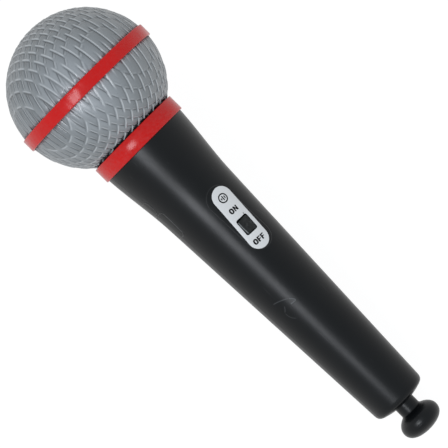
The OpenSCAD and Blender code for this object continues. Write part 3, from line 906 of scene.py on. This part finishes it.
def floor_white():
    """A ground that is almost the picture's white, with a trace of shadow."""
    s = Shader("floor_white", Specular_IOR_Level=0.2)
    s.colour(s.mix(s.remap(s.noise(0.02, 3.0), 0.3, 0.7, 0, 1), (0.145, 0.145, 0.145), (0.155, 0.155, 0.155)))
    s.bsdf.inputs["Emission Color"].default_value = (1, 1, 1, 1)
    s.bsdf.inputs["Emission Strength"].default_value = 0.93
    s.rough(s.remap(s.noise(0.05), 0.3, 0.7, 0.8, 0.9))
    return s.mat


SLOT_MATERIALS = {
    "ball_grey": ball_grey(),
    "red_plastic": red_plastic(),
    "black_plastic": black_plastic(),
    "label_film": label_film(),
    "switch_black": cap_black(),
    "plated_metal": dull_metal("plated_metal", (0.60, 0.61, 0.62), 0.28),
    "green_board": board_green(),
    "component_black": moulded("component_black", (0.02, 0.02, 0.022), 0.5).mat,
    "magnet_grey": dull_metal("magnet_grey", (0.12, 0.12, 0.13), 0.55, (1, 1, 1)),
    "cone_black": soft("cone_black", (0.02, 0.02, 0.022), 0.6, 1.5, 0.03),
    "foam_black": soft("foam_black", (0.025, 0.025, 0.027), 0.9, 3.0, 0.2),
    "cell_wrap": cell_wrap(),
    "wire_red": soft("wire_red", (0.45, 0.03, 0.03), 0.45, 2.0, 0.02),
    "wire_white": soft("wire_white", (0.62, 0.62, 0.60), 0.45, 2.0, 0.02),
    "wire_black": soft("wire_black", (0.03, 0.03, 0.03), 0.45, 2.0, 0.02),
}


# How far the edges of the nodes that show are softened, in mm, and how near points must be to be one
SOFT_EDGES = {"head_band": 0.35, "collar_ring": 0.3, "switch_cap": 0.5, "switch_label": 0.06}
WELD = 0.002


def dress_nodes():
    """Each CAD node gets its slot's material, smooth shading and, where it shows, softened edges."""
    slots = {p["node"]: p["material_slot"] for p in frame["record"]["subparts"]}
    for name, ob in nodes.items():
        ob.data.materials.clear()
        ob.data.materials.append(SLOT_MATERIALS[slots[name]])
        ob.data.polygons.foreach_set("use_smooth", [True] * len(ob.data.polygons))
        if name in SOFT_EDGES:
            weld = ob.modifiers.new("weld", "WELD")
            weld.merge_threshold = WELD * MM
            bevel = ob.modifiers.new("edges", "BEVEL")
            bevel.width = SOFT_EDGES[name] * MM
            bevel.segments = 3
            bevel.limit_method = "ANGLE"
            bevel.angle_limit = math.radians(50)
            bevel.harden_normals = True


def coil_spring():
    """A copy of the tail knob's spring on the microphone's body, in place of its CAD node; the real spring
    shortens against its seat as the knob is pushed in, but this copy does not.
    """
    spring = bpy.data.objects.new("knob_coil", nodes["knob_spring"].data.copy())
    scene.collection.objects.link(spring)
    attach(spring, "microphone")
    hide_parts("knob_spring")
    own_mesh(spring)


# ---------------------------------------------------------------- light
FLOOR_HALF = 3.0
KEY_TURN = math.radians(20.5)
KEY_FAR = 1.3
KEY_SIZE = (0.7, 0.42)
KEY_POWER = 6.9
KEY_COLOUR = (0.97, 1.0, 1.06)
# The tent's shades, each at a share of the way round from behind the target, 0, to the camera, 1: the first
# and the last, then those between
TENT = (
    (0.28, (0.80, 0.80, 0.80, 1)),
    (0.93, (0.41, 0.445, 0.47, 1)),
    (0.42, (0.73, 0.735, 0.74, 1)),
    (0.65, (0.57, 0.585, 0.60, 1)),
)


def make_floor():
    """A white ground that shows to the camera only."""
    bm = bmesh.new()
    bmesh.ops.create_grid(bm, x_segments=8, y_segments=8, size=FLOOR_HALF)
    me = bpy.data.meshes.new("floor")
    bm.to_mesh(me)
    bm.free()
    floor = bpy.data.objects.new("floor", me)
    me.materials.append(floor_white())
    scene.collection.objects.link(floor)
    floor.visible_diffuse = False
    floor.visible_glossy = False


def make_light(target, back):
    """A long softbox beside the camera, to the lower left, inside a tent that is darker near the camera."""
    along = direction((1, 0, 0))
    key = (Matrix.Rotation(KEY_TURN, 3, along) @ back).normalized()
    light = bpy.data.lights.new("key", "AREA")
    light.shape = "RECTANGLE"
    light.size, light.size_y = KEY_SIZE
    light.energy = KEY_POWER
    light.color = KEY_COLOUR
    ob = bpy.data.objects.new("key", light)
    face = Matrix((along, key.cross(along), key)).transposed()
    ob.matrix_world = Matrix.Translation(target + key * KEY_FAR) @ face.to_4x4()
    scene.collection.objects.link(ob)
    world = bpy.data.worlds.new("studio")
    world.use_nodes = True
    scene.world = world
    tree = world.node_tree
    shade = tree.nodes["Background"]
    toward = tree.nodes.new("ShaderNodeVectorMath")
    toward.operation = "DOT_PRODUCT"
    toward.inputs[1].default_value = back
    tree.links.new(tree.nodes.new("ShaderNodeTexCoord").outputs["Generated"], toward.inputs[0])
    share = tree.nodes.new("ShaderNodeMapRange")
    share.inputs["From Min"].default_value = -1
    tree.links.new(toward.outputs["Value"], share.inputs["Value"])
    ramp = tree.nodes.new("ShaderNodeValToRGB")
    tree.links.new(share.outputs["Result"], ramp.inputs["Fac"])
    tree.links.new(ramp.outputs["Color"], shade.inputs["Color"])
    stops = ramp.color_ramp.elements
    for stop, (position, colour) in zip(list(stops), TENT):
        stop.position, stop.color = position, colour
    for position, colour in TENT[2:]:
        stops.new(position).color = colour
    shade.inputs["Strength"].default_value = 1.0


# ---------------------------------------------------------------- the scene
target, back = make_camera()
woven_dome("head_front_weave", "head_front_dome", -1, 0.0)
woven_dome("head_rear_weave", "head_rear_dome", 1, NECK_R)
dress_nodes()
coil_spring()
label_print().data.materials.append(ink())
make_floor()
make_light(target, back)
scene.view_settings.view_transform = "Standard"
